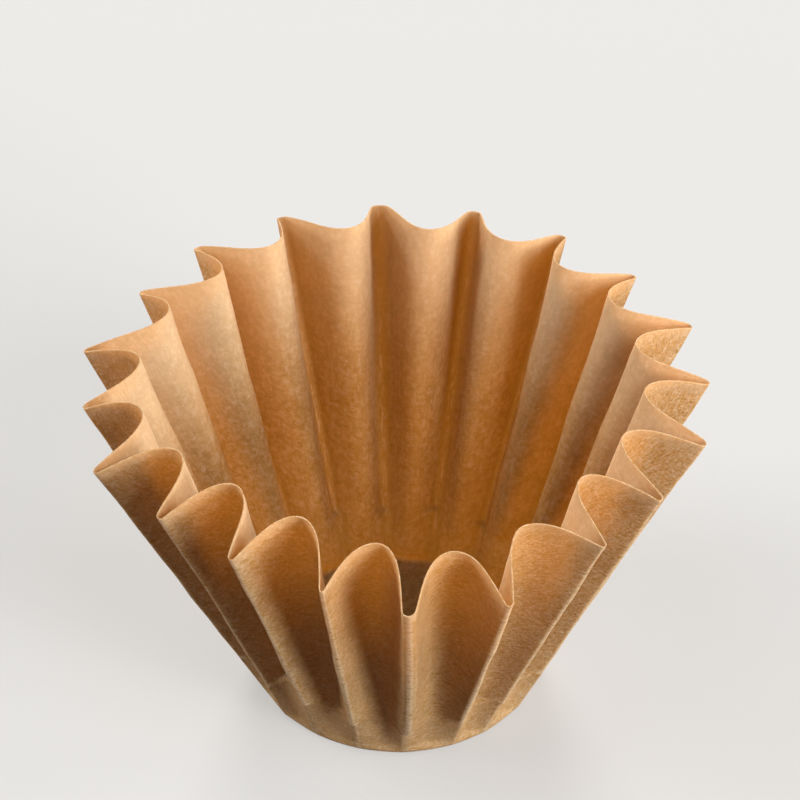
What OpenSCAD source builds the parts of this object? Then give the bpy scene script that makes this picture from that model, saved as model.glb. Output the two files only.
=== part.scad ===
// Flat-bottomed coffee filter with a waved wall, pressed from one round sheet of paper.
// The paper bends but does not stretch. A point that lies s beyond the base fold on the
// flat sheet lies s up the wall, and each ring of paper keeps its length by folding into
// waves, so the depth of the waves at every height follows from the size of the sheet.

/* [Sheet] */
// Diameter of the flat round sheet before it is pressed
sheet_d = 185; // [170:1:200]
// Thickness of the paper
paper_t = 0.2; // [0.14:0.02:0.4]

/* [Cup] */
// Diameter of the flat base, measured at the fold
base_d = 51; // [44:1:56]
// Diameter of the rim, measured over the outer ridges
rim_d = 108; // [96:1:118]
// Radius of the rounded fold between base and wall
fold_r = 0.8; // [0.5:0.1:1.5]

/* [Waves] */
// Number of waves round the wall
waves = 20; // [16:1:24]
// Radius of the sharp outer ridges
ridge_r = 0.9; // [0.5:0.1:1.4]
// How much faster the paper bends at the inner crests than near the ridges
spring = 3.3; // [1.5:0.1:5]

/* [Heel] */
// Slant height of the band above the base that the press has flattened
heel_h = 10; // [6:0.5:12]
// Share of the wave depth that is left in that band
heel_fill = 0.75; // [0.4:0.05:0.9]
// Slant height over which the waves start, from the fold upwards
start_h = 2; // [1.5:0.1:3]
// Slant height of the crease that ends the band
crease_h = 1.5; // [1:0.5:4]
// How far the ridges are pressed in below the crease
heel_inset = 0.4; // [0:0.1:0.8]
// Sideways jog of the ridges across the crease, in degrees
heel_jog = 0.8; // [0:0.1:1.5]

/* [Opened by hand] */
// Share of the uneven, hand-opened shape of the rim that is kept
unevenness = 1; // [0:0.1:1]

/* [Hidden] */

base_r = base_d / 2;
rim_r = rim_d / 2;
// Slant height of the wall, from the base fold to the cut edge
slant = (sheet_d - base_d) / 2;
// How fast an outer ridge moves outwards along the slant
ridge_slope = (rim_r - base_r) / slant;
// Angle from a ridge to the next crest
half_pitch = 180 / waves;

// How far each ridge leans off its even place at the rim, in degrees, anticlockwise
ridge_lean = [-2, -1.5, 0, 0, 1, 0.5, 0, -0.5, 0, 0, 0.5, 2, 2.5, 3, 1.5, 0, 0, 0, -0.5, -0.5];
// How far each ridge stands beyond the even rim, in millimetres
ridge_reach = [1, 1, -2, -2.5, -1, -1, 0.5, -0.5, 0.5, 1, 0, 1.5, 2, -0.5, 3, 0.5, 1, -2, -2.5, -1.5];
// The same two for the crest that follows each ridge
crest_lean = [0, 0, 0.5, 0, -0.5, 0, 0.5, 0, -1, -0.5, 0.5, 1, 0, 0.5, 0, -0.5, -0.5, -1, -0.5, 2];
crest_reach = [1, 0, -3, -2, -2, -1.5, 0, -0.5, 0.5, -1, 0.5, 1, 0, 1.5, 2, 1.5, 0, -2, -2.5, -1];

// Shares of the paper between a ridge and a crest at which the mesh has points
wave_steps = [0, 0.04, 0.09, 0.35, 0.6, 0.76, 0.89, 1];
// Shares of the wall above the heel at which the mesh has rows
upper_rows = [0.08, 0.25, 0.55, 1];
// Slant heights of all the rows of the wall
heel_top = heel_h + crease_h;
rows = concat(
    [fold_r / 2, start_h, heel_h, heel_top],
    [for (share = upper_rows) heel_top + share * (slant - heel_top)]
);
// Steps in which half a wave is traced, and in which its turn is narrowed down
trace_steps = 100;
search_steps = 20;

// Even part of the wave

// Radius of a ridge at slant height s, on the even cup
function ridge_at(s) = base_r + ridge_slope * s;

// Length of paper from a ridge to the next crest at slant height s
function paper_at(s) = PI * (base_r + s) / waves;

// Height of a point that is s up the wall and has come out to radius r
function height_at(s, r) = sqrt(max(s * s - pow(r - base_r, 2), 0));

// Direction of the paper, off the round of the cup, at share u of the way from a ridge
// to the next crest. It turns sharply over the ridge and springs back slowly to the crest.
function direction(s, turn, u) =
    let (ridge_share = ridge_r * turn * PI / 180 / paper_at(s))
    u < ridge_share
        ? turn * u / ridge_share
        : turn * (1 - pow(1 - (1 - u) / (1 - ridge_share), spring));

// Half a wave at slant height s: angle round the cup and radius, step by step
function trace(s, turn) =
    let (step = paper_at(s) / trace_steps)
    [
        for (
            i = 0, angle = 0, r = ridge_at(s);
            i <= trace_steps;
            d = direction(s, turn, (i + 0.5) / trace_steps),
            angle = angle + step * cos(d) / r * 180 / PI,
            r = r - step * sin(d) * height_at(s, r) / s,
            i = i + 1
        )
        [angle, r]
    ];

// Turn of the paper over the ridge at which half a wave just fills half a pitch
function turn_at(s, low = 0, high = 110, n = search_steps) =
    let (turn = (low + high) / 2)
    n == 0 ? turn
    : trace(s, turn)[trace_steps][0] > half_pitch ? turn_at(s, turn, high, n - 1)
    : turn_at(s, low, turn, n - 1);

// Share of the wave depth at slant height s, less than all of it in the heel band
function fill_at(s) =
    s <= start_h ? heel_fill * s / start_h
    : s <= heel_h ? heel_fill
    : s >= heel_top ? 1
    : heel_fill + (1 - heel_fill) * (s - heel_h) / crease_h;

// Placing the sheet

// Value of a list for wave k, which may lie one before the first or one after the last
function pick(list, k) = list[(k + waves) % waves % len(list)];
function blend(a, b, t) = a + (b - a) * t;

// Middle of the paper at slant height s, near ridge k. The number u goes from -1 at the
// crest before the ridge through 0 on the ridge to 1 at the crest after it.
function wall_point(s, half_wave, k, u) =
    let (
        w = half_wave[round(abs(u) * trace_steps)],
        depth = ridge_at(s) - w[1],
        full_depth = ridge_at(s) - half_wave[trace_steps][1],
        q = full_depth > 0 ? depth / full_depth : abs(u),
        crest = u < 0 ? k - 1 : k,
        opened = unevenness * s / slant,
        lean = blend(pick(ridge_lean, k), crest_lean_at(crest), q),
        reach = blend(pick(ridge_reach, k), pick(crest_reach, crest), q),
        jog = s > heel_h ? heel_jog : 0,
        inset = s > heel_h ? 0 : heel_inset * min(s / start_h, 1),
        angle = -90 + 2 * half_pitch * k + sign(u) * w[0] + opened * lean + jog * (1 - q),
        r = ridge_at(s) - fill_at(s) * depth - (1 - q) * inset + opened * reach
    )
    [r * cos(angle), r * sin(angle), height_at(s, r) + paper_t / 2];

// A crest lies midway between its two ridges, apart from its own lean
function crest_lean_at(k) =
    (pick(ridge_lean, k) + pick(ridge_lean, k + 1)) / 2 + pick(crest_lean, k);

// All numbers u round one wave, from just after the crest before it to the crest after it
wave_u = concat(
    [for (i = [len(wave_steps) - 2:-1:1]) -wave_steps[i]],
    wave_steps
);
per_ring = waves * len(wave_u);

function wall_ring(s) =
    let (half_wave = trace(s, turn_at(s)))
    [for (k = [0:waves - 1], u = wave_u) wall_point(s, half_wave, k, u)];

// Ring of the flat base, under the first ring of the wall
function base_ring(wall, r) = [
    for (p = wall) let (f = r / norm([p[0], p[1]])) [f * p[0], f * p[1], paper_t / 2]
];

wall_rings = [for (s = rows) wall_ring(s)];
sheet_rings = concat(
    [base_ring(wall_rings[0], base_r - fold_r)],
    wall_rings
);
ring_count = len(sheet_rings);

// Direction square to the paper at a point of the net, pointing out of the cup
function square_to(j, i) =
    let (
        here = sheet_rings[j],
        lower = sheet_rings[max(j - 1, 0)],
        upper = sheet_rings[min(j + 1, ring_count - 1)],
        round_it = here[(i + 1) % per_ring] - here[(i + per_ring - 1) % per_ring],
        up_it = upper[i] - lower[i],
        n = cross(round_it, up_it)
    )
    j == 0 ? [0, 0, -1] : n / norm(n);

// One face of the paper, on the outside for side = 1 and on the inside for side = -1
function face_points(side) = [
    for (j = [0:ring_count - 1], i = [0:per_ring - 1])
        sheet_rings[j][i] + side * paper_t / 2 * square_to(j, i)
];

// Numbers of the points on ring j of a face, 0 for the outside and 1 for the inside
function first_point(face) = face * (ring_count * per_ring + 1);
function ring(face, j) = [for (i = [0:per_ring - 1]) first_point(face) + j * per_ring + i];
function centre(face) = first_point(face) + ring_count * per_ring;

// Triangles between two rings, and between the first ring and the middle of the base
function band(low, high) = [
    for (i = [0:per_ring - 1])
        let (n = (i + 1) % per_ring)
        each [[low[i], high[i], low[n]], [low[n], high[i], high[n]]]
];
function fan(round, middle) = [
    for (i = [0:per_ring - 1]) [round[i], round[(i + 1) % per_ring], middle]
];
function skin(face) = concat(
    fan(ring(face, 0), centre(face)),
    [for (j = [1:ring_count - 1]) each band(ring(face, j - 1), ring(face, j))]
);
function flipped(faces) = [for (f = faces) [f[2], f[1], f[0]]];

// The whole filter: two faces of the paper, joined along the cut edge of the rim
module filter_cup() {
    last = ring_count - 1;
    points = concat(face_points(1), [[0, 0, 0]], face_points(-1), [[0, 0, paper_t]]);
    rim = band(ring(0, last), ring(1, last));
    color("peru")
        polyhedron(points, concat(skin(0), flipped(skin(1)), rim));
}

filter_cup();
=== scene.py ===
import math

import bmesh
import bpy
from bpy.props import FloatProperty, FloatVectorProperty, IntProperty, PointerProperty
from mathutils import Matrix, Vector, noise


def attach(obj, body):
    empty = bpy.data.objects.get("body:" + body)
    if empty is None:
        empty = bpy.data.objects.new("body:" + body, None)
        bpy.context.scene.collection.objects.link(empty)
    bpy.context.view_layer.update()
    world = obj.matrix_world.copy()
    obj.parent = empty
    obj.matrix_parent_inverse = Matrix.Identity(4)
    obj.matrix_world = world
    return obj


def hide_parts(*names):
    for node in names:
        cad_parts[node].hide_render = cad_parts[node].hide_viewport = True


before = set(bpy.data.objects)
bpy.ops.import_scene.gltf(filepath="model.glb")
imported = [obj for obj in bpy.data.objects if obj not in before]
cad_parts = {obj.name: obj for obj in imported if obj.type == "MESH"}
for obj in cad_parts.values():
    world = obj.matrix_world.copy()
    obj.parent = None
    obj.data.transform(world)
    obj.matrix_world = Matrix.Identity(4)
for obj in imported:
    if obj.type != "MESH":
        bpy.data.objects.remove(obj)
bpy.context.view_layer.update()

bl_info = {
    "name": "Waved Coffee Filter",
    "version": (1, 0, 0),
    "blender": (4, 5, 0),
    "location": "View3D > Sidebar > Coffee Filter",
    "description": "Presses a round sheet of kraft paper into a flat-bottomed coffee filter",
    "category": "Add Mesh",
}

MM = 0.001

# How each ridge leans off its even place at the rim, in degrees, and how far it stands out
RIDGE_LEAN = (-2.5, -0.25, 2.5, 1.75, 2.75, 2.25, 1.25, 0.5, 1, 0.75, 0.5, 1.25, 1.5, 0.75, 0.25,
              0, 0, 0.5, -1, 0.75)
RIDGE_REACH = (0.5, 0.75, -2.5, -2.75, -1, -0.5, 1.5, 0.25, 1.25, 2, 2.25, 3.25, 3, 0.5, 3.25,
               0.5, 1.25, -2.25, -2.75, -2)
# The same two for the inner crest that follows each ridge
CREST_LEAN = (0.75, -2, -0.25, 0.5, 0.5, 0, 0.5, 0, -1, -0.5, 0.5, 1, 0, 0.5, 0, -0.5, -1.5, -0.75,
              0.5, 2)
CREST_REACH = (0.5, -1, -3.75, -3, -1.75, -1.5, 0, -0.5, 0.5, -1, 0.5, 1, 0, 1.5, 2, 1.5, -1.25,
               -3.75, -3.5, -1.25)
# How far each ridge leans off its even place at the base, in degrees
HEEL_LEAN = (0.3, 2.7, -1, 1, 1, 1, 1, 1, 1, 1, 1, 1, 1, 1, 1, 1, 1, 1, 0.1, 0)
# How much further than the rest each ridge jogs sideways across the heel crease, in degrees
JOG_MORE = (0.5, -2, -0.8, -0.8, -0.8, -0.4, 0.3, 0, -0.3, 0, 0.4, 0, -0.4, 0, 0.3, -0.4, -0.8, -0.8,
            0.5, -0.5)
# Share of the inset below the crease that each ridge has
PRESSED_IN = (1, 1, 0.6, 0, 0, 0, 0.5, 0.7, 1, 0.8, 0.6, 1, 0.8, 0.6, 0.4, 0, 0, 0, 0.7, 1)
# How much higher than the rest the heel crease crosses each ridge, and the crest that
# follows it, in millimetres
RIDGE_RISE = (-1, 1.5, 1.5, 2, 0, 0.4, -0.3, 0.3, 0, 0.4, -0.3, 0.2, 0.5, 0, -0.3, 0.3, 0, 0, 2.5, 0.5)
CREST_RISE = (0, 0.5, 0.5, 1, 0, 0.2, 0.4, 0, 0.3, 0, 0, 0.3, 0, 0.4, 0, 0.2, 0, 4, 1, 0)
# How many times rounder than the rest each ridge is
RIDGE_ROUND = (1.8, 1, 1, 1, 1, 1, 1, 1, 1.5, 2, 2.4, 1.5, 1.5, 1, 1, 1, 1, 1, 1, 1)
# How much more of the wave depth the press has left in the heel at each crest
CREST_KEPT = (0.22, 0.05, -0.05, -0.1, -0.1, -0.1, -0.1, -0.05, 0.15, 0.25, 0.25, 0.25, 0.15, -0.05,
              -0.1, -0.1, -0.15, -0.2, -0.1, 0.22)

# Shares of the paper from a ridge to a crest at which the fine sheet has points
COLUMN_SHARES = (0, 0.02, 0.045, 0.07, 0.1, 0.14, 0.19, 0.25, 0.32, 0.4, 0.49, 0.58, 0.67, 0.76,
                 0.85, 0.93, 1)
# Steps in which half a wave is traced, and in which its turn is narrowed down
TRACE_STEPS = 200
SEARCH_STEPS = 22
MOST_TURN = math.radians(110)
# Radius on the flat sheet, in millimetres, at which the pressed creases have their length
WALL_RADIUS_MM = 62.0
# How far above the heel crease the painted highlight on the lip of the step on each ridge lies, in
# millimetres
LIP_MM = 0.9
# Directions in which the loose fibres lie on the flat sheet, in degrees
FIBRE_ANGLES = (8, 52, 101, 147)
# Far out of reach of any mark, for the attribute of a point that no mark comes near
FAR_MM = 9
# Radii of the rings of the flat base, in millimetres, and numbers of rings in the bands above
BASE_RINGS = (2, 9, 16, 21.5)
FOLD_RINGS = 6
HEEL_RINGS = 9
CREASE_RINGS = 22
UPPER_RINGS = 26
# The rings stand close from just below the heel crease to well above it
CLOSE_BELOW = 2 * MM
CLOSE_ABOVE = 5 * MM
# The last two rings inside the cut edge
CUT_EDGE_BAND = 0.5 * MM
LAST_RING = 0.2 * MM
# Widths of the wide and the small buckles in the paper, and how much the small ones count
WIDE_BUCKLE = 17 * MM
SMALL_BUCKLE = 6 * MM
SMALL_BUCKLE_SHARE = 0.45
SMALL_BUCKLE_SHIFT = Vector((5, 2, 9))
# Share of the slant height over which the buckles grow to their full depth
BUCKLE_START = 0.4
# Room that one node takes in the node editor
NODE_WIDTH = 200
NODE_HEIGHT = 190

# Where the camera looks, on the floor behind the cup, and how it stands
CAMERA_AIM = Vector((-0.162, 71.7, 0)) * MM
CAMERA_ELEVATION = math.radians(40.11)
CAMERA_TURN = math.radians(-3.017)
CAMERA_ROLL = math.radians(0.9)
# Width of the camera's sensor in millimetres, and how far it sees in metres
SENSOR_WIDTH = 36
FARTHEST_SEEN = 20

# Direction of each lamp and its height over the floor, in degrees, by the name of its power
LAMPS = {
    "key_power": (-45, 15),
    "high_key_power": (-45, 40),
    "right_power": (0, 15),
    "left_power": (180, 15),
    "high_left_power": (165, 40),
    "back_power": (90, 15),
    "top_power": (225, 65),
}
LAMP_DISTANCE = 1.6
LAMP_SIZE = 0.62
LIT_PLACE = Vector((0, 0, 30)) * MM
# Colour of the light from all round, and of the floor as the paper sees it
ROOM_COLOUR = (1, 0.98, 0.95, 1)
BOUNCED_COLOUR = (0.13, 0.126, 0.12, 1)
# Share of the backdrop's colour that the floor has in the deepest shadow
FLOOR_SHARE = 0.52
FLOOR_RADIUS = 3
FLOOR_SIDES = 96


# Sizes and colours

class SheetSizes(bpy.types.PropertyGroup):
    """Sizes of the round sheet and of the cup that it is pressed into"""

    sheet_diameter: FloatProperty(
        name="Sheet Diameter", description="Diameter of the flat sheet before it is pressed",
        default=0.185, min=0.17, max=0.2, unit='LENGTH')
    thickness: FloatProperty(
        name="Thickness", description="Thickness of the paper",
        default=0.0002, min=0.00014, max=0.0004, unit='LENGTH', precision=5)
    base_diameter: FloatProperty(
        name="Base Diameter", description="Diameter of the flat base, measured at the fold",
        default=0.051, min=0.044, max=0.056, unit='LENGTH')
    rim_diameter: FloatProperty(
        name="Rim Diameter", description="Diameter of the rim, measured over the outer ridges",
        default=0.108, min=0.096, max=0.118, unit='LENGTH')
    fold_radius: FloatProperty(
        name="Fold Radius", description="Half the width of the rounded fold round the base",
        default=0.0011, min=0.0005, max=0.002, unit='LENGTH', precision=4)
    waves: IntProperty(
        name="Waves", description="Number of waves round the wall", default=20, min=16, max=24)
    ridge_radius: FloatProperty(
        name="Ridge Radius", description="Radius of the sharp outer ridges",
        default=0.00065, min=0.0005, max=0.0014, unit='LENGTH', precision=4)
    spring: FloatProperty(
        name="Spring", description="How much faster the paper bends at the inner crests",
        default=3.3, min=1.5, max=5)
    heel_height: FloatProperty(
        name="Heel Height", description="Slant height of the flattened band above the base",
        default=0.01, min=0.006, max=0.012, unit='LENGTH')
    heel_fill: FloatProperty(
        name="Heel Fill", description="Share of the wave depth that is left in the heel band",
        default=0.75, min=0.4, max=0.9, subtype='FACTOR')
    start_height: FloatProperty(
        name="Start Height", description="Slant height over which the waves start",
        default=0.002, min=0.0015, max=0.003, unit='LENGTH', precision=4)
    crease_height: FloatProperty(
        name="Crease Height", description="Slant height of the crease that ends the heel band",
        default=0.0015, min=0.001, max=0.004, unit='LENGTH', precision=4)
    lip_height: FloatProperty(
        name="Lip Height", description="Slant height of the small step on each ridge at the crease",
        default=0.0006, min=0.0003, max=0.002, unit='LENGTH', precision=4)
    heel_inset: FloatProperty(
        name="Heel Inset", description="How far the ridges are pressed in below the crease",
        default=0.00055, min=0, max=0.0008, unit='LENGTH', precision=4)
    heel_jog: FloatProperty(
        name="Heel Jog", description="Sideways jog of the ridges across the crease",
        default=math.radians(0.8), min=0, max=math.radians(1.5), subtype='ANGLE')
    unevenness: FloatProperty(
        name="Unevenness", description="Share of the hand-opened shape of the rim that is kept",
        default=1, min=0, max=1, subtype='FACTOR')
    buckle: FloatProperty(
        name="Buckle", description="How far the paper wavers out of its smooth shape near the rim",
        default=0.0003, min=0, max=0.0006, unit='LENGTH', precision=5)


class PaperLook(bpy.types.PropertyGroup):
    """Colours and marks of the kraft paper"""

    kraft: FloatVectorProperty(
        name="Kraft", description="Colour of the unbleached paper",
        default=(0.69, 0.425, 0.157, 1), size=4, min=0, max=1, subtype='COLOR')
    dark_pulp: FloatVectorProperty(
        name="Dark Pulp", description="Colour of the darker clouds in the pulp",
        default=(0.54, 0.305, 0.088, 1), size=4, min=0, max=1, subtype='COLOR')
    # Also painted as a highlight near the cut edge, and on the inner wall far down from it
    pale_fibre_and_highlight: FloatVectorProperty(
        name="Pale Fibre", description="Colour of loose fibres and of the cut edge",
        default=(0.93, 0.77, 0.52, 1), size=4, min=0, max=1, subtype='COLOR')
    # Also painted as a highlight along the ridge tops and on the lip of each heel step
    worn_and_highlight: FloatVectorProperty(
        name="Worn Ridge", description="Colour of the worn, hairy ridges",
        default=(0.98, 0.77, 0.48, 1), size=4, min=0, max=1, subtype='COLOR')
    glow: FloatVectorProperty(
        name="Glow", description="Colour of the light that comes through the paper",
        default=(0.74, 0.43, 0.1, 1), size=4, min=0, max=1, subtype='COLOR')
    # Also painted as shade down the inner grooves and as a shadow under the lip of each heel step
    dark_speck_and_shade: FloatVectorProperty(
        name="Dark Speck", description="Colour of the dark specks in the pulp",
        default=(0.33, 0.16, 0.035, 1), size=4, min=0, max=1, subtype='COLOR')
    let_through: FloatProperty(
        name="Let Through", description="Share of the light that goes through a face of the paper",
        default=0.45, min=0, max=0.6, subtype='FACTOR')


class StudioLook(bpy.types.PropertyGroup):
    """Camera, lamps and floor"""

    camera_distance: FloatProperty(
        name="Camera Distance", description="Distance from the camera to the filter",
        default=0.81, min=0.3, max=3, unit='LENGTH')
    camera_lens: FloatProperty(
        name="Camera Lens", description="Focal length of the camera in millimetres",
        default=187.155, min=35, max=400)
    key_power: FloatProperty(
        name="Key Power", description="Power of the low soft lamp in front on the right",
        default=21.5, min=0, max=80, subtype='POWER')
    high_key_power: FloatProperty(
        name="High Key Power", description="Power of the soft lamp above the key lamp",
        default=11.4, min=0, max=80, subtype='POWER')
    right_power: FloatProperty(
        name="Right Power", description="Power of the soft lamp on the right",
        default=15.0, min=0, max=80, subtype='POWER')
    left_power: FloatProperty(
        name="Left Power", description="Power of the soft lamp on the left",
        default=12.8, min=0, max=80, subtype='POWER')
    high_left_power: FloatProperty(
        name="High Left Power", description="Power of the soft lamp above the left lamp",
        default=8.8, min=0, max=80, subtype='POWER')
    back_power: FloatProperty(
        name="Back Power", description="Power of the soft lamp that shines through the far wall",
        default=39.5, min=0, max=80, subtype='POWER')
    top_power: FloatProperty(
        name="Top Power", description="Power of the high soft lamp that shines into the cup",
        default=3.2, min=0, max=80, subtype='POWER')
    room_light: FloatProperty(
        name="Room Light", description="Strength of the even light from all round",
        default=0.04, min=0, max=2)
    floor_colour: FloatVectorProperty(
        name="Floor", description="Colour that the lamps light on the plain floor",
        default=(0.27, 0.266, 0.259, 1), size=4, min=0, max=1, subtype='COLOR')
    backdrop_colour: FloatVectorProperty(
        name="Backdrop", description="Plain pale colour behind the filter and under its shadow",
        default=(0.78, 0.77, 0.752, 1), size=4, min=0, max=1, subtype='COLOR')


# Shape of the pressed wall

def blend(a, b, share):
    return a + (b - a) * share


def ease(share):
    share = min(max(share, 0), 1)
    return share * share * (3 - 2 * share)


def pick(values, k, waves):
    return values[k % waves % len(values)]


class Press:
    """Where a point of the flat sheet comes to lie once the sheet is pressed and opened"""

    def __init__(self, sizes):
        self.sizes = sizes
        self.base_r = sizes.base_diameter / 2
        self.sheet_r = sizes.sheet_diameter / 2
        self.slant = self.sheet_r - self.base_r
        self.ridge_slope = (sizes.rim_diameter / 2 - self.base_r) / self.slant
        self.half_pitch = math.pi / sizes.waves
        self.half_waves = {}

    def ridge_at(self, s):
        """Radius of a ridge at slant height s"""
        return self.base_r + self.ridge_slope * s

    def paper_at(self, s):
        """Length of paper from a ridge to the next crest"""
        return math.pi * (self.base_r + s) / self.sizes.waves

    def height_at(self, s, r):
        """Height of a point that is s up the wall and has come out to radius r"""
        return math.sqrt(max(s * s - (r - self.base_r) ** 2, 0))

    def trace(self, s, turn, radius):
        """Half a wave, as angle and radius step by step, for a turn over a ridge"""
        step = self.paper_at(s) / TRACE_STEPS
        ridge_share = radius * turn / self.paper_at(s)
        angle, r = 0, self.ridge_at(s)
        points = [(angle, r)]
        for i in range(TRACE_STEPS):
            u = (i + 0.5) / TRACE_STEPS
            if u < ridge_share:
                direction = turn * u / ridge_share
            else:
                flank = (u - ridge_share) / (1 - ridge_share)
                direction = turn * (1 - flank ** self.sizes.spring)
            angle += step * math.cos(direction) / r
            r -= step * math.sin(direction) * self.height_at(s, r) / s
            points.append((angle, r))
        return points

    def half_wave(self, s, k):
        """Half a wave beside ridge k whose turn makes it fill just half a pitch"""
        rounder = blend(1, pick(RIDGE_ROUND, k, self.sizes.waves), self.sizes.unevenness)
        radius = self.sizes.ridge_radius * rounder
        if (s, radius) not in self.half_waves:
            low, high = 0, MOST_TURN
            for _ in range(SEARCH_STEPS):
                turn = (low + high) / 2
                if self.trace(s, turn, radius)[-1][0] > self.half_pitch:
                    low = turn
                else:
                    high = turn
            self.half_waves[s, radius] = self.trace(s, (low + high) / 2, radius)
        return self.half_waves[s, radius]

    def between(self, values, crest):
        """Middle of what a list gives for the two ridges beside a crest"""
        n = self.sizes.waves
        return (pick(values, crest, n) + pick(values, crest + 1, n)) / 2

    def lean_at(self, s, k, crest, share):
        """How far the paper leans off its even place, a share of the way to a crest"""
        n = self.sizes.waves
        rim_crest = self.between(RIDGE_LEAN, crest) + pick(CREST_LEAN, crest, n)
        at_rim = blend(pick(RIDGE_LEAN, k, n), rim_crest, share)
        at_base = blend(pick(HEEL_LEAN, k, n), self.between(HEEL_LEAN, crest), share)
        return self.sizes.unevenness * math.radians(blend(at_base, at_rim, s / self.slant))

    def reach_at(self, s, k, crest, share):
        """How far the paper stands out beyond the even cup, a share of the way to a crest"""
        n = self.sizes.waves
        at_rim = blend(pick(RIDGE_REACH, k, n), pick(CREST_REACH, crest, n), share)
        return self.sizes.unevenness * at_rim * MM * s / self.slant

    def above_crease(self, s, k, crest, share):
        """Slant height over the heel crease, a share of the way from a ridge to a crest"""
        n = self.sizes.waves
        rise = blend(pick(RIDGE_RISE, k, n), pick(CREST_RISE, crest, n), share)
        return s - self.sizes.heel_height - self.sizes.unevenness * rise * MM

    def wall_point(self, s, k, u):
        """Middle of the paper at slant height s near ridge k, with u from -1 to 1 across it"""
        sizes, n = self.sizes, self.sizes.waves
        crest, next_ridge = (k - 1, k - 1) if u < 0 else (k, k + 1)
        half_wave = self.half_wave(s, k)
        turned, traced_r = half_wave[round(abs(u) * TRACE_STEPS)]
        full_depth = self.ridge_at(s) - half_wave[-1][1]
        crest_r = (half_wave[-1][1] + self.half_wave(s, next_ridge)[-1][1]) / 2
        shared_depth = self.ridge_at(s) - crest_r
        q = (self.ridge_at(s) - traced_r) / full_depth if full_depth > 0 else abs(u)
        depth = q * shared_depth
        above = self.above_crease(s, k, crest, abs(u))
        stepped = ease(above / sizes.lip_height)
        start = ease(s / sizes.start_height)
        kept = min(sizes.heel_fill + sizes.unevenness * pick(CREST_KEPT, crest, n), 1)
        fill = blend(kept * start, 1, ease(above / sizes.crease_height))
        inset = sizes.heel_inset * pick(PRESSED_IN, k, n) * start * (1 - stepped)
        jog = sizes.heel_jog + sizes.unevenness * math.radians(pick(JOG_MORE, k, n))
        angle = (
            2 * self.half_pitch * k - math.pi / 2 + math.copysign(turned, u)
            + self.lean_at(s, k, crest, q) + jog * stepped * (1 - q)
        )
        r = self.ridge_at(s) - fill * depth - (1 - q) * inset + self.reach_at(s, k, crest, q)
        z = self.height_at(s, r) + sizes.thickness / 2
        return Vector((r * math.cos(angle), r * math.sin(angle), z))

    def fold_point(self, rho, k, u):
        """A point of the rounded fold, or of the flat base inside it"""
        fold = self.sizes.fold_radius
        wall = self.wall_point(fold, k, u)
        outward = Vector((wall.x, wall.y, 0)).normalized()
        floor = Vector((0, 0, self.sizes.thickness / 2))
        if rho <= self.base_r - fold:
            return outward * rho + floor
        share = (rho - self.base_r + fold) / (2 * fold)
        start = outward * (self.base_r - fold) + floor
        corner = outward * self.base_r + floor
        return start.lerp(corner, share).lerp(corner.lerp(wall, share), share)

    def place(self, rho, k, u):
        """Where the point at flat radius rho comes to lie"""
        if rho <= self.base_r + self.sizes.fold_radius:
            return self.fold_point(rho, k, u)
        return self.wall_point(rho - self.base_r, k, u)


def sheet_radii(press):
    """Radii of the rings of the flat sheet: close at the fold and the heel crease"""
    sizes = press.sizes
    fold, base_r = sizes.fold_radius, press.base_r
    low = sizes.heel_height - CLOSE_BELOW
    high = sizes.heel_height + sizes.crease_height + CLOSE_ABOVE
    top = press.slant - CUT_EDGE_BAND
    base = [radius * MM for radius in BASE_RINGS]
    bend = [base_r - fold + 2 * fold * i / FOLD_RINGS for i in range(FOLD_RINGS + 1)]
    heel = [base_r + blend(fold, low, (i + 1) / HEEL_RINGS) for i in range(HEEL_RINGS)]
    crease = [base_r + blend(low, high, (i + 1) / CREASE_RINGS) for i in range(CREASE_RINGS)]
    upper = [base_r + blend(high, top, (i + 1) / UPPER_RINGS) for i in range(UPPER_RINGS)]
    rim = [press.sheet_r - LAST_RING, press.sheet_r]
    return base + bend + heel + crease + upper + rim


def lay_out_sheet(bm, press):
    """The flat round sheet: ring after ring drawn out from the middle, and the columns of
    points moved round so that they stand close together where the ridges will be"""
    ring_number = bm.verts.layers.int.new("ring")
    column_number = bm.verts.layers.int.new("column")
    halves = len(COLUMN_SHARES) - 1
    columns = press.sizes.waves * 2 * halves
    radii = sheet_radii(press)
    bmesh.ops.create_circle(bm, cap_ends=True, cap_tris=True, segments=columns, radius=radii[0])
    middle = min(bm.verts, key=lambda v: v.co.length)
    middle[ring_number] = -1
    edge = [e for e in bm.edges if e.is_boundary]
    for n, (low, high) in enumerate(zip(radii, radii[1:])):
        drawn = bmesh.ops.extrude_edge_only(bm, edges=edge)["geom"]
        points = [p for p in drawn if isinstance(p, bmesh.types.BMVert)]
        edge = [p for p in drawn if isinstance(p, bmesh.types.BMEdge) and p.is_boundary]
        bmesh.ops.scale(bm, vec=(high / low, high / low, 1), verts=points)
        for v in points:
            v[ring_number] = n + 1
    for v in bm.verts:
        if v is middle:
            continue
        turned = math.atan2(v.co.y, v.co.x) + math.pi / 2
        column = round(turned * columns / (2 * math.pi)) % columns
        v[column_number] = column
        k, u = wave_and_share(column, press.sizes.waves)
        angle = press.half_pitch * (2 * k + u) - math.pi / 2
        rho = radii[v[ring_number]]
        v.co.xy = (rho * math.cos(angle), rho * math.sin(angle))
    return radii


def wave_and_share(column, waves):
    """Number of the ridge nearest to a column of points, and the column's share from it"""
    halves = len(COLUMN_SHARES) - 1
    k, step = divmod(column + halves, 2 * halves)
    step -= halves
    return k % waves, math.copysign(COLUMN_SHARES[abs(step)], step)


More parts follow.
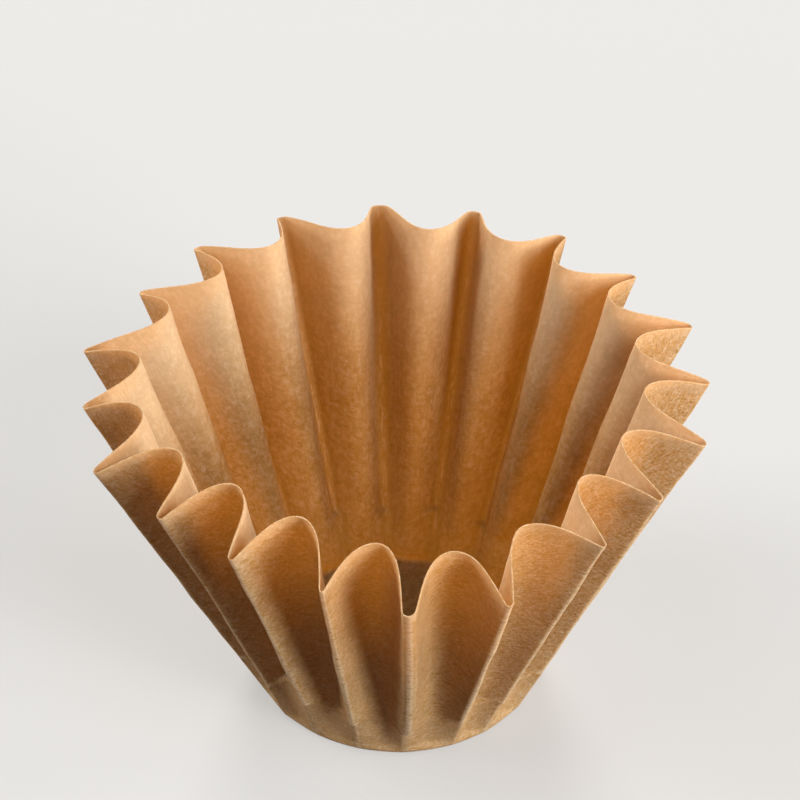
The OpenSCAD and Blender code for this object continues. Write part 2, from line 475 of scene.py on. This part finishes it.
def press_sheet(bm, press, radii):
    """Presses the flat sheet into the cup, and notes on each point how far it is, in
    millimetres, from the nearest ridge, from the cut edge and above the heel crease"""
    sizes = press.sizes
    from_ridge = bm.verts.layers.float.new("from_ridge")
    from_edge = bm.verts.layers.float.new("from_edge")
    above_crease = bm.verts.layers.float.new("above_crease")
    ring_number = bm.verts.layers.int["ring"]
    column_number = bm.verts.layers.int["column"]
    for v in bm.verts:
        if v[ring_number] < 0:
            v.co.z = sizes.thickness / 2
            v[from_ridge] = FAR_MM
            v[from_edge] = press.sheet_r / MM
            v[above_crease] = -FAR_MM
            continue
        rho = radii[v[ring_number]]
        s = rho - press.base_r
        k, u = wave_and_share(v[column_number], sizes.waves)
        v.co = press.place(rho, k, u)
        v[from_ridge] = abs(u) * press.paper_at(s) / MM if s > 0 else FAR_MM
        v[from_edge] = (press.slant - s) / MM
        v[above_crease] = press.above_crease(max(s, 0), k, k - 1 if u < 0 else k, abs(u)) / MM
    bm.normal_update()
    buckled = {}
    for v in bm.verts:
        s = radii[v[ring_number]] - press.base_r
        if v[ring_number] >= 0 and s > 0:
            wide = noise.noise(v.co / WIDE_BUCKLE)
            small = noise.noise(v.co / SMALL_BUCKLE + SMALL_BUCKLE_SHIFT)
            soft = wide + SMALL_BUCKLE_SHARE * small
            grown = ease(s / (BUCKLE_START * press.slant))
            buckled[v] = v.normal * soft * sizes.buckle * grown
    for v, move in buckled.items():
        v.co += move


# Paper

def socket(tree, name, kind, in_out, default=None):
    made = tree.interface.new_socket(name=name, in_out=in_out, socket_type=kind)
    if default is not None:
        made.default_value = default
    return made


def node(tree, kind, place, inputs=None, **settings):
    """A node with its settings, and its inputs either given a value or linked"""
    made = tree.nodes.new(kind)
    made.location = (place[0] * NODE_WIDTH, -place[1] * NODE_HEIGHT)
    for name, value in settings.items():
        setattr(made, name, value)
    for name, value in (inputs or {}).items():
        if isinstance(value, bpy.types.NodeSocket):
            tree.links.new(value, made.inputs[name])
        else:
            made.inputs[name].default_value = value
    return made


def new_group(name, inputs, outputs):
    """An empty shader group with its sockets, and its input and output nodes"""
    tree = bpy.data.node_groups.new(name, 'ShaderNodeTree')
    socket(tree, "Place", 'NodeSocketVector', 'INPUT')
    for label, value in inputs.items():
        socket(tree, label, 'NodeSocketFloat', 'INPUT', value)
    for label in outputs:
        socket(tree, label, 'NodeSocketFloat', 'OUTPUT')
    given = node(tree, 'NodeGroupInput', (0, 0)).outputs
    made = node(tree, 'NodeGroupOutput', (9, 0)).inputs
    return tree, given, made


def stretch(tree, place, value, low, high):
    """A noise spread so that one value becomes 0 and another 1"""
    return node(tree, 'ShaderNodeMapRange', place, {
        "Value": value, "From Min": low, "From Max": high}, clamp=True).outputs["Result"]


def pulp_clouds():
    """Group: soft clouds, mottling and fine specks of pulp, at places on the flat sheet"""
    tree, given, made = new_group(
        "Pulp Clouds", {"Cloud Size": 6.0, "Mottle Size": 1.5}, ("Clouds", "Mottle", "Specks"))
    wide_place = node(tree, 'ShaderNodeVectorMath', (1, 0), {
        0: given["Place"], 1: given["Cloud Size"]}, operation='DIVIDE').outputs["Vector"]
    wide = node(tree, 'ShaderNodeTexNoise', (2, 0), {
        "Vector": wide_place, "Scale": 1.0, "Detail": 4, "Roughness": 0.5, "Distortion": 0.4})
    tree.links.new(stretch(tree, (3, 0), wide.outputs["Fac"], 0.36, 0.64), made["Clouds"])
    small_place = node(tree, 'ShaderNodeVectorMath', (1, 2), {
        0: given["Place"], 1: given["Mottle Size"]}, operation='DIVIDE').outputs["Vector"]
    small = node(tree, 'ShaderNodeTexNoise', (2, 2), {
        "Vector": small_place, "Scale": 1.0, "Detail": 2, "Roughness": 0.55, "Distortion": 0.6})
    tree.links.new(small.outputs["Fac"], made["Mottle"])
    fine = node(tree, 'ShaderNodeTexNoise', (2, 4), {
        "Vector": given["Place"], "Scale": 1.9, "Detail": 2, "Roughness": 0.75})
    tree.links.new(fine.outputs["Fac"], made["Specks"])
    return tree


def loose_fibres():
    """Group: thin short fibres that lie in all directions on the flat sheet"""
    tree, given, made = new_group("Loose Fibres", {}, ("Fibres",))
    found = None
    for i, degrees in enumerate(FIBRE_ANGLES):
        turned = node(tree, 'ShaderNodeMapping', (1, i), {
            "Vector": given["Place"], "Location": (7.3 * i, 3.1 * i, 0),
            "Rotation": (0, 0, math.radians(degrees)), "Scale": (0.5, 4.2, 1)})
        streaks = node(tree, 'ShaderNodeTexNoise', (2, i), {
            "Vector": turned.outputs["Vector"], "Scale": 1.0, "Detail": 1,
            "Roughness": 0.4, "Distortion": 0.8})
        thin = stretch(tree, (3, i), streaks.outputs["Fac"], 0.58, 0.72)
        if found is None:
            found = thin
        else:
            found = node(tree, 'ShaderNodeMath', (4, i), {
                0: found, 1: thin}, operation='MAXIMUM').outputs["Value"]
    tree.links.new(found, made["Fibres"])
    return tree


def pressed_creases():
    """Group: the fine cross lines that the press leaves, which run round the sheet"""
    tree, given, made = new_group("Pressed Creases", {"Length": 1.6, "Spacing": 0.4}, ("Creases",))
    way_out = node(tree, 'ShaderNodeVectorMath', (1, 0), {0: given["Place"]}, operation='NORMALIZE')
    per_length = node(tree, 'ShaderNodeMath', (1, 1), {
        0: WALL_RADIUS_MM, 1: given["Length"]}, operation='DIVIDE')
    around = node(tree, 'ShaderNodeVectorMath', (2, 0), {
        0: way_out.outputs["Vector"], "Scale": per_length.outputs["Value"]}, operation='SCALE')
    radius = node(tree, 'ShaderNodeVectorMath', (1, 2), {0: given["Place"]}, operation='LENGTH')
    up = node(tree, 'ShaderNodeMath', (2, 2), {
        0: radius.outputs["Value"], 1: given["Spacing"]}, operation='DIVIDE')
    rise = node(tree, 'ShaderNodeCombineXYZ', (3, 2), {"Z": up.outputs["Value"]})
    at = node(tree, 'ShaderNodeVectorMath', (4, 0), {
        0: around.outputs["Vector"], 1: rise.outputs["Vector"]}, operation='ADD')
    lines = node(tree, 'ShaderNodeTexNoise', (5, 0), {
        "Vector": at.outputs["Vector"], "Scale": 1.0, "Detail": 2, "Roughness": 0.6,
        "Distortion": 0.9})
    tree.links.new(lines.outputs["Fac"], made["Creases"])
    return tree


def fade(tree, place, value, full, none):
    """A mask that is 1 up to one value and falls smoothly to 0 at another"""
    return node(tree, 'ShaderNodeMapRange', place, {
        "Value": value, "From Min": full, "From Max": none, "To Min": 1.0, "To Max": 0.0},
        clamp=True, interpolation_type='SMOOTHSTEP').outputs["Result"]


def times(tree, place, a, b):
    return node(tree, 'ShaderNodeMath', place, {0: a, 1: b}, operation='MULTIPLY').outputs["Value"]


def over(tree, place, share, below, above):
    """One colour laid over another where the mask is 1"""
    return node(tree, 'ShaderNodeMix', place, {
        "Factor": share, "A": below, "B": above}, data_type='RGBA').outputs["Result"]


def grain(tree, row, parts):
    """Lightness near 1 that sways with several noises, each by its own amount"""
    light = 1.0
    for n, (noise_value, amount) in enumerate(parts):
        sway = node(tree, 'ShaderNodeMath', (n - 1, row), {
            0: noise_value, 1: 0.5}, operation='SUBTRACT').outputs["Value"]
        light = node(tree, 'ShaderNodeMath', (n, row + 1), {
            0: sway, 1: amount, 2: light}, operation='MULTIPLY_ADD').outputs["Value"]
    return light


class PaperSide:
    """One side of the sheet as a material: where its marks are, its colour and its relief"""

    def __init__(self, name, look, sheet_mm, marks, sizes):
        self.material = bpy.data.materials.new(name)
        self.material.use_nodes = True
        self.look = look
        self.tree = tree = self.material.node_tree
        tree.nodes.clear()
        flat = node(tree, 'ShaderNodeUVMap', (-7, 0), uv_map="flat_sheet").outputs["UV"]
        centred = node(tree, 'ShaderNodeVectorMath', (-6, 0), {
            0: flat, 1: (0.5, 0.5, 0)}, operation='SUBTRACT').outputs["Vector"]
        place = node(tree, 'ShaderNodeVectorMath', (-5, 0), {
            0: centred, "Scale": sheet_mm}, operation='SCALE').outputs["Vector"]
        clouds, fibres, creases = (
            node(tree, 'ShaderNodeGroup', (-4, n), {"Place": place, **size}, node_tree=group).outputs
            for n, (group, size) in enumerate(zip(marks, sizes)))
        self.clouds = clouds["Clouds"]
        self.mottle = clouds["Mottle"]
        self.specks = clouds["Specks"]
        self.fibres = fibres["Fibres"]
        self.creases = creases["Creases"]
        self.from_ridge, self.from_edge, self.above_crease = (
            node(tree, 'ShaderNodeAttribute', (-4, 3 + n), attribute_name=name).outputs["Fac"]
            for n, name in enumerate(("from_ridge", "from_edge", "above_crease")))

    def pulp(self, sways):
        """Colour of the clouded pulp, made lighter and darker by its grain"""
        tree, look = self.tree, self.look
        mixed = over(tree, (0, 0), self.clouds, look.dark_pulp, look.kraft)
        lightness = grain(tree, 1, sways)
        pale = times(tree, (4, 1), stretch(tree, (3, 1), lightness, 1.0, 1.4), 0.85)
        dark = times(tree, (4, -1), stretch(tree, (3, -1), lightness, 1.0, 0.6), 0.95)
        paler = over(tree, (5, 0), pale, mixed, look.pale_fibre_and_highlight)
        return over(tree, (5, -1), dark, paler, look.dark_speck_and_shade)

    def paint(self, colour, coats):
        """Pale or dark coats laid over the pulp, each with its mask and its colour"""
        for n, (mask, coat) in enumerate(coats):
            colour = over(self.tree, (6 + n, 0), mask, colour, coat)
        return colour

    def finish(self, colour, relief_parts, let_through):
        """Fuzzy face with its relief, mixed with the light that comes through the sheet"""
        tree = self.tree
        height = 0.0
        for n, (part, share) in enumerate(relief_parts):
            height = node(tree, 'ShaderNodeMath', (8 + n, 4), {
                0: part, 1: share, 2: height}, operation='MULTIPLY_ADD').outputs["Value"]
        relief = node(tree, 'ShaderNodeBump', (12, 4), {
            "Strength": 0.7, "Distance": 0.0001, "Height": height}).outputs["Normal"]
        dullness = node(tree, 'ShaderNodeMapRange', (12, 2), {
            "Value": self.clouds, "To Min": 0.82, "To Max": 0.95}).outputs["Result"]
        face = node(tree, 'ShaderNodeBsdfPrincipled', (14, 0), {
            "Base Color": colour, "Roughness": dullness, "Normal": relief,
            "Specular IOR Level": 0.1, "Sheen Weight": 0.03, "Sheen Roughness": 0.5})
        through = node(tree, 'ShaderNodeBsdfTranslucent', (14, 3), {"Color": self.look.glow})
        both = node(tree, 'ShaderNodeMixShader', (16, 0), {
            0: let_through, 1: face.outputs["BSDF"], 2: through.outputs["BSDF"]})
        out = node(tree, 'ShaderNodeOutputMaterial', (17, 0))
        tree.links.new(both.outputs["Shader"], out.inputs["Surface"])
        return self.material


def kraft_outside(look, sheet_mm, marks):
    """The outer side, with the ridges pale and hairy from wear in the press and a painted highlight on
    their tops, a painted highlight and a painted shadow at the lip of each heel step, and a painted
    highlight near the cut edge that is partly pale fuzz
    """
    side = PaperSide("kraft_outside", look, sheet_mm, marks, (
        {"Cloud Size": 6.0, "Mottle Size": 1.2}, {}, {"Length": 1.1, "Spacing": 0.36}))
    tree = side.tree
    near_ridge = fade(tree, (-3, 3), side.from_ridge, 0.5, 4.0)
    on_ridge = fade(tree, (-3, 4), side.from_ridge, 0.3, 0.75)
    # Paler near the cut edge: partly pale fuzz at the edge, partly a painted highlight
    edge_highlight = fade(tree, (-3, 5), side.from_edge, 0.3, 3.5)
    in_heel = fade(tree, (-3, 6), side.above_crease, -1.5, 0.5)
    crossing = node(tree, 'ShaderNodeMapRange', (-2, 2), {
        "Value": near_ridge, "To Min": 0.1, "To Max": 1.0}).outputs["Result"]
    colour = side.pulp((
        (side.specks, 1.2), (side.mottle, 0.7), (side.creases, crossing)))
    hairs = stretch(tree, (-2, 3), side.creases, 0.56, 0.7)
    broken = stretch(tree, (-2, 4), side.creases, 0.33, 0.52)
    over_lip = node(tree, 'ShaderNodeMapRange', (-2, 6), {
        "Value": side.above_crease, "From Min": -0.2, "From Max": 0.6,
        "To Min": 0.3}).outputs["Result"]
    to_lip = node(tree, 'ShaderNodeMath', (-3, 7), {
        0: side.above_crease, 1: LIP_MM}, operation='SUBTRACT').outputs["Value"]
    off_lip = node(tree, 'ShaderNodeMath', (-2, 7), {
        0: to_lip}, operation='ABSOLUTE').outputs["Value"]
    beside_ridge = fade(tree, (-1, 8), side.from_ridge, 0.7, 1.7)
    # Painted highlight on the lip of the step where each ridge crosses the heel crease
    lip_highlight = times(tree, (0, 7), fade(tree, (-1, 7), off_lip, 0.25, 0.6), beside_ridge)
    # Painted shadow just under that lip
    past_lip = node(tree, 'ShaderNodeMapRange', (-1, 9), {
        "Value": off_lip, "From Min": 0.75, "From Max": 1.0},
        interpolation_type='SMOOTHSTEP').outputs["Result"]
    lip_shadow = times(tree, (0, 8), beside_ridge, past_lip)
    lip_shadow = times(tree, (1, 8), lip_shadow, fade(tree, (0, 9), off_lip, 1.2, 1.6))
    lip_shadow = times(tree, (2, 8), lip_shadow, fade(tree, (1, 9), side.above_crease, 0.0, 0.3))
    colour = side.paint(colour, (
        (times(tree, (4, 2), side.fibres, 0.42), look.pale_fibre_and_highlight),
        (times(tree, (5, 2), near_ridge, times(tree, (4, 3), hairs, 0.7)), look.worn_and_highlight),
        # Painted highlight near the cut edge, partly pale fuzz there
        (times(tree, (5, 4), edge_highlight, 0.3), look.pale_fibre_and_highlight),
        (times(tree, (6, 2), in_heel, 0.06), look.pale_fibre_and_highlight),
        # Pale line along each ridge, fainter below the heel crease: partly fibres rubbed pale, partly
        # a painted highlight on the ridge top
        (times(tree, (7, 2), on_ridge, times(tree, (6, 3), broken, over_lip)), look.worn_and_highlight),
        # Painted shadow under each lip, then the painted highlight on it
        (times(tree, (8, 2), lip_shadow, 0.7), look.dark_speck_and_shade),
        (times(tree, (8, 4), lip_highlight, 0.9), look.worn_and_highlight)))
    depth = node(tree, 'ShaderNodeMapRange', (6, 5), {
        "Value": near_ridge, "To Min": 0.2, "To Max": 1.1}).outputs["Result"]
    return side.finish(colour, (
        (side.creases, depth), (side.specks, 0.55), (side.fibres, 0.4), (side.mottle, 0.5)),
        look.let_through)


def kraft_inside(look, sheet_mm, marks):
    """The inner side: softly mottled, with painted shade down the grooves, a painted highlight that
    pales the wall far down from the cut edge, and pale dashes along the folds
    """
    side = PaperSide("kraft_inside", look, sheet_mm, marks, (
        {"Cloud Size": 4.5, "Mottle Size": 1.1}, {}, {"Length": 0.5, "Spacing": 2.6}))
    tree = side.tree
    # Painted shade down the grooves, which are the ridges seen from inside
    groove_shade = fade(tree, (-3, 4), side.from_ridge, 0.6, 2.4)
    on_fold = fade(tree, (-3, 5), side.from_ridge, 0.15, 0.75)
    # Painted highlight that pales the wall from the cut edge far down
    edge_highlight = fade(tree, (-3, 6), side.from_edge, 2.0, 38.0)
    colour = side.pulp((
        (side.specks, 0.4), (side.mottle, 0.95), (side.creases, 0.5)))
    dashes = stretch(tree, (-2, 5), side.creases, 0.5, 0.68)
    colour = side.paint(colour, (
        (times(tree, (4, 2), side.fibres, 0.16), look.pale_fibre_and_highlight),
        # Painted shade down the grooves, then the painted highlight high on the wall
        (times(tree, (5, 2), groove_shade, 0.55), look.dark_speck_and_shade),
        (times(tree, (6, 2), edge_highlight, 0.52), look.pale_fibre_and_highlight),
        (times(tree, (7, 2), on_fold, times(tree, (6, 3), dashes, 0.6)), look.pale_fibre_and_highlight)))
    return side.finish(colour, (
        (side.creases, 0.5), (side.specks, 0.5), (side.fibres, 0.35), (side.mottle, 0.6)),
        look.let_through)


def cut_edge(look, sheet_mm, marks):
    """The cut edge of the sheet, where the torn fibres show pale"""
    side = PaperSide("kraft_cut_edge", look, sheet_mm, marks, (
        {"Cloud Size": 3.0, "Mottle Size": 0.8}, {}, {"Length": 0.4, "Spacing": 0.2}))
    colour = side.pulp(((side.specks, 0.8), (side.mottle, 0.9)))
    torn = stretch(side.tree, (4, 2), side.creases, 0.3, 0.7)
    colour = side.paint(colour, ((times(side.tree, (5, 2), torn, 0.9), look.pale_fibre_and_highlight),))
    return side.finish(colour, ((side.specks, 1.0), (side.creases, 0.8)), look.let_through)


class FILTER_OT_press_sheet(bpy.types.Operator):
    """Cut a round sheet of kraft paper and press it into the waved cup"""

    bl_idname = "coffee_filter.press_sheet"
    bl_label = "Press Sheet"
    bl_options = {'REGISTER', 'UNDO'}

    def execute(self, context):
        sizes, look = context.scene.filter_sheet, context.scene.filter_paper
        press = Press(sizes)
        bm = bmesh.new()
        radii = lay_out_sheet(bm, press)
        flat_sheet = bm.loops.layers.uv.new("flat_sheet")
        for face in bm.faces:
            face.smooth = True
            for corner in face.loops:
                flat = corner.vert.co.xy / sizes.sheet_diameter
                corner[flat_sheet].uv = flat + Vector((0.5, 0.5))
        press_sheet(bm, press, radii)
        bmesh.ops.recalc_face_normals(bm, faces=bm.faces)
        middle = min(bm.verts, key=lambda v: v.co.xy.length)
        if middle.normal.z > 0:
            bmesh.ops.reverse_faces(bm, faces=bm.faces)
        bm.verts.layers.int.remove(bm.verts.layers.int["ring"])
        bm.verts.layers.int.remove(bm.verts.layers.int["column"])
        mesh = bpy.data.meshes.new("paper_sheet")
        bm.to_mesh(mesh)
        bm.free()
        marks = (pulp_clouds(), loose_fibres(), pressed_creases())
        for side in (kraft_outside, kraft_inside, cut_edge):
            mesh.materials.append(side(look, sizes.sheet_diameter / MM, marks))
        paper = bpy.data.objects.new("paper_sheet", mesh)
        context.scene.collection.objects.link(paper)
        thick = paper.modifiers.new("paper thickness", 'SOLIDIFY')
        thick.thickness = sizes.thickness
        thick.offset = 0
        thick.use_rim = True
        thick.material_offset = 1
        thick.material_offset_rim = 2
        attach(paper, "root")
        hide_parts("filter_cup")
        return {'FINISHED'}


# Stage

def plain_floor(look):
    """Pale floor that keeps the shadow and sends a little light back up"""
    floor = bpy.data.materials.new("plain_floor")
    floor.use_nodes = True
    tree = floor.node_tree
    tree.nodes.clear()
    in_light = node(tree, 'ShaderNodeBsdfDiffuse', (0, 0), {"Color": look.floor_colour})
    pale = node(tree, 'ShaderNodeEmission', (0, -1), {
        "Color": look.backdrop_colour, "Strength": FLOOR_SHARE})
    seen = node(tree, 'ShaderNodeAddShader', (1, -1), {
        0: in_light.outputs["BSDF"], 1: pale.outputs["Emission"]})
    bounced = node(tree, 'ShaderNodeBsdfDiffuse', (0, 1), {"Color": BOUNCED_COLOUR})
    rays = node(tree, 'ShaderNodeLightPath', (0, -2))
    both = node(tree, 'ShaderNodeMixShader', (2, 0), {
        0: rays.outputs["Is Camera Ray"], 1: bounced.outputs["BSDF"], 2: seen.outputs["Shader"]})
    out = node(tree, 'ShaderNodeOutputMaterial', (3, 0))
    tree.links.new(both.outputs["Shader"], out.inputs["Surface"])
    return floor


def lamp(context, name, power, azimuth, elevation):
    """A round soft lamp that stands off in a direction, in degrees, and faces the filter"""
    light = bpy.data.lights.new(name, 'AREA')
    light.shape = 'DISK'
    light.size = LAMP_SIZE
    light.energy = power
    made = bpy.data.objects.new(name, light)
    a, e = math.radians(azimuth), math.radians(elevation)
    away = Vector((math.cos(a) * math.cos(e), math.sin(a) * math.cos(e), math.sin(e)))
    facing = away.to_track_quat('Z', 'Y').to_matrix().to_4x4()
    made.matrix_world = Matrix.Translation(LIT_PLACE + away * LAMP_DISTANCE) @ facing
    context.scene.collection.objects.link(made)


class FILTER_OT_set_stage(bpy.types.Operator):
    """Set out the floor, the lamps and the camera"""

    bl_idname = "coffee_filter.set_stage"
    bl_label = "Set Stage"
    bl_options = {'REGISTER', 'UNDO'}

    def execute(self, context):
        scene, studio = context.scene, context.scene.filter_studio
        bm = bmesh.new()
        bmesh.ops.create_circle(bm, cap_ends=True, segments=FLOOR_SIDES, radius=FLOOR_RADIUS)
        mesh = bpy.data.meshes.new("studio_floor")
        bm.to_mesh(mesh)
        bm.free()
        mesh.materials.append(plain_floor(studio))
        floor = bpy.data.objects.new("studio_floor", mesh)
        scene.collection.objects.link(floor)

        for power_name, (azimuth, elevation) in LAMPS.items():
            name = power_name.replace("power", "lamp")
            lamp(context, name, getattr(studio, power_name), azimuth, elevation)

        room = bpy.data.worlds.new("even_room")
        room.use_nodes = True
        tree = room.node_tree
        tree.nodes.clear()
        light = node(tree, 'ShaderNodeBackground', (0, 0), {
            "Color": ROOM_COLOUR, "Strength": studio.room_light})
        seen = node(tree, 'ShaderNodeBackground', (0, 1), {
            "Color": studio.backdrop_colour, "Strength": 1.0})
        rays = node(tree, 'ShaderNodeLightPath', (0, -2))
        both = node(tree, 'ShaderNodeMixShader', (1, 0), {
            0: rays.outputs["Is Camera Ray"], 1: light.outputs["Background"],
            2: seen.outputs["Background"]})
        out = node(tree, 'ShaderNodeOutputWorld', (2, 0))
        tree.links.new(both.outputs["Shader"], out.inputs["Surface"])
        scene.world = room

        camera = bpy.data.cameras.new("studio_camera")
        camera.sensor_width = SENSOR_WIDTH
        camera.lens = studio.camera_lens
        camera.clip_end = FARTHEST_SEEN
        stand = bpy.data.objects.new("studio_camera", camera)
        scene.collection.objects.link(stand)
        back = Vector((0, -math.cos(CAMERA_ELEVATION), math.sin(CAMERA_ELEVATION)))
        facing = back.to_track_quat('Z', 'Y').to_matrix().to_4x4()
        stand.matrix_world = (
            Matrix.Rotation(CAMERA_TURN, 4, 'Z')
            @ Matrix.Translation(CAMERA_AIM + back * studio.camera_distance)
            @ facing @ Matrix.Rotation(CAMERA_ROLL, 4, 'Z')
        )
        scene.camera = stand
        scene.view_settings.view_transform = 'Standard'
        return {'FINISHED'}


class FILTER_PT_sidebar(bpy.types.Panel):
    """Sizes, colours and steps of the coffee filter"""

    bl_label = "Coffee Filter"
    bl_idname = "FILTER_PT_sidebar"
    bl_space_type = 'VIEW_3D'
    bl_region_type = 'UI'
    bl_category = "Coffee Filter"

    def draw(self, context):
        layout = self.layout
        layout.use_property_split = True
        for settings in (context.scene.filter_sheet, context.scene.filter_paper,
                         context.scene.filter_studio):
            box = layout.box()
            for name in settings.__annotations__:
                box.prop(settings, name)
        layout.operator(FILTER_OT_press_sheet.bl_idname)
        layout.operator(FILTER_OT_set_stage.bl_idname)


CLASSES = (
    SheetSizes, PaperLook, StudioLook,
    FILTER_OT_press_sheet, FILTER_OT_set_stage, FILTER_PT_sidebar,
)


def register():
    for kind in CLASSES:
        bpy.utils.register_class(kind)
    bpy.types.Scene.filter_sheet = PointerProperty(type=SheetSizes)
    bpy.types.Scene.filter_paper = PointerProperty(type=PaperLook)
    bpy.types.Scene.filter_studio = PointerProperty(type=StudioLook)


def unregister():
    del bpy.types.Scene.filter_sheet
    del bpy.types.Scene.filter_paper
    del bpy.types.Scene.filter_studio
    for kind in reversed(CLASSES):
        bpy.utils.unregister_class(kind)


def main():
    register()
    bpy.ops.coffee_filter.press_sheet()
    bpy.ops.coffee_filter.set_stage()


if __name__ == "__main__":
    main()
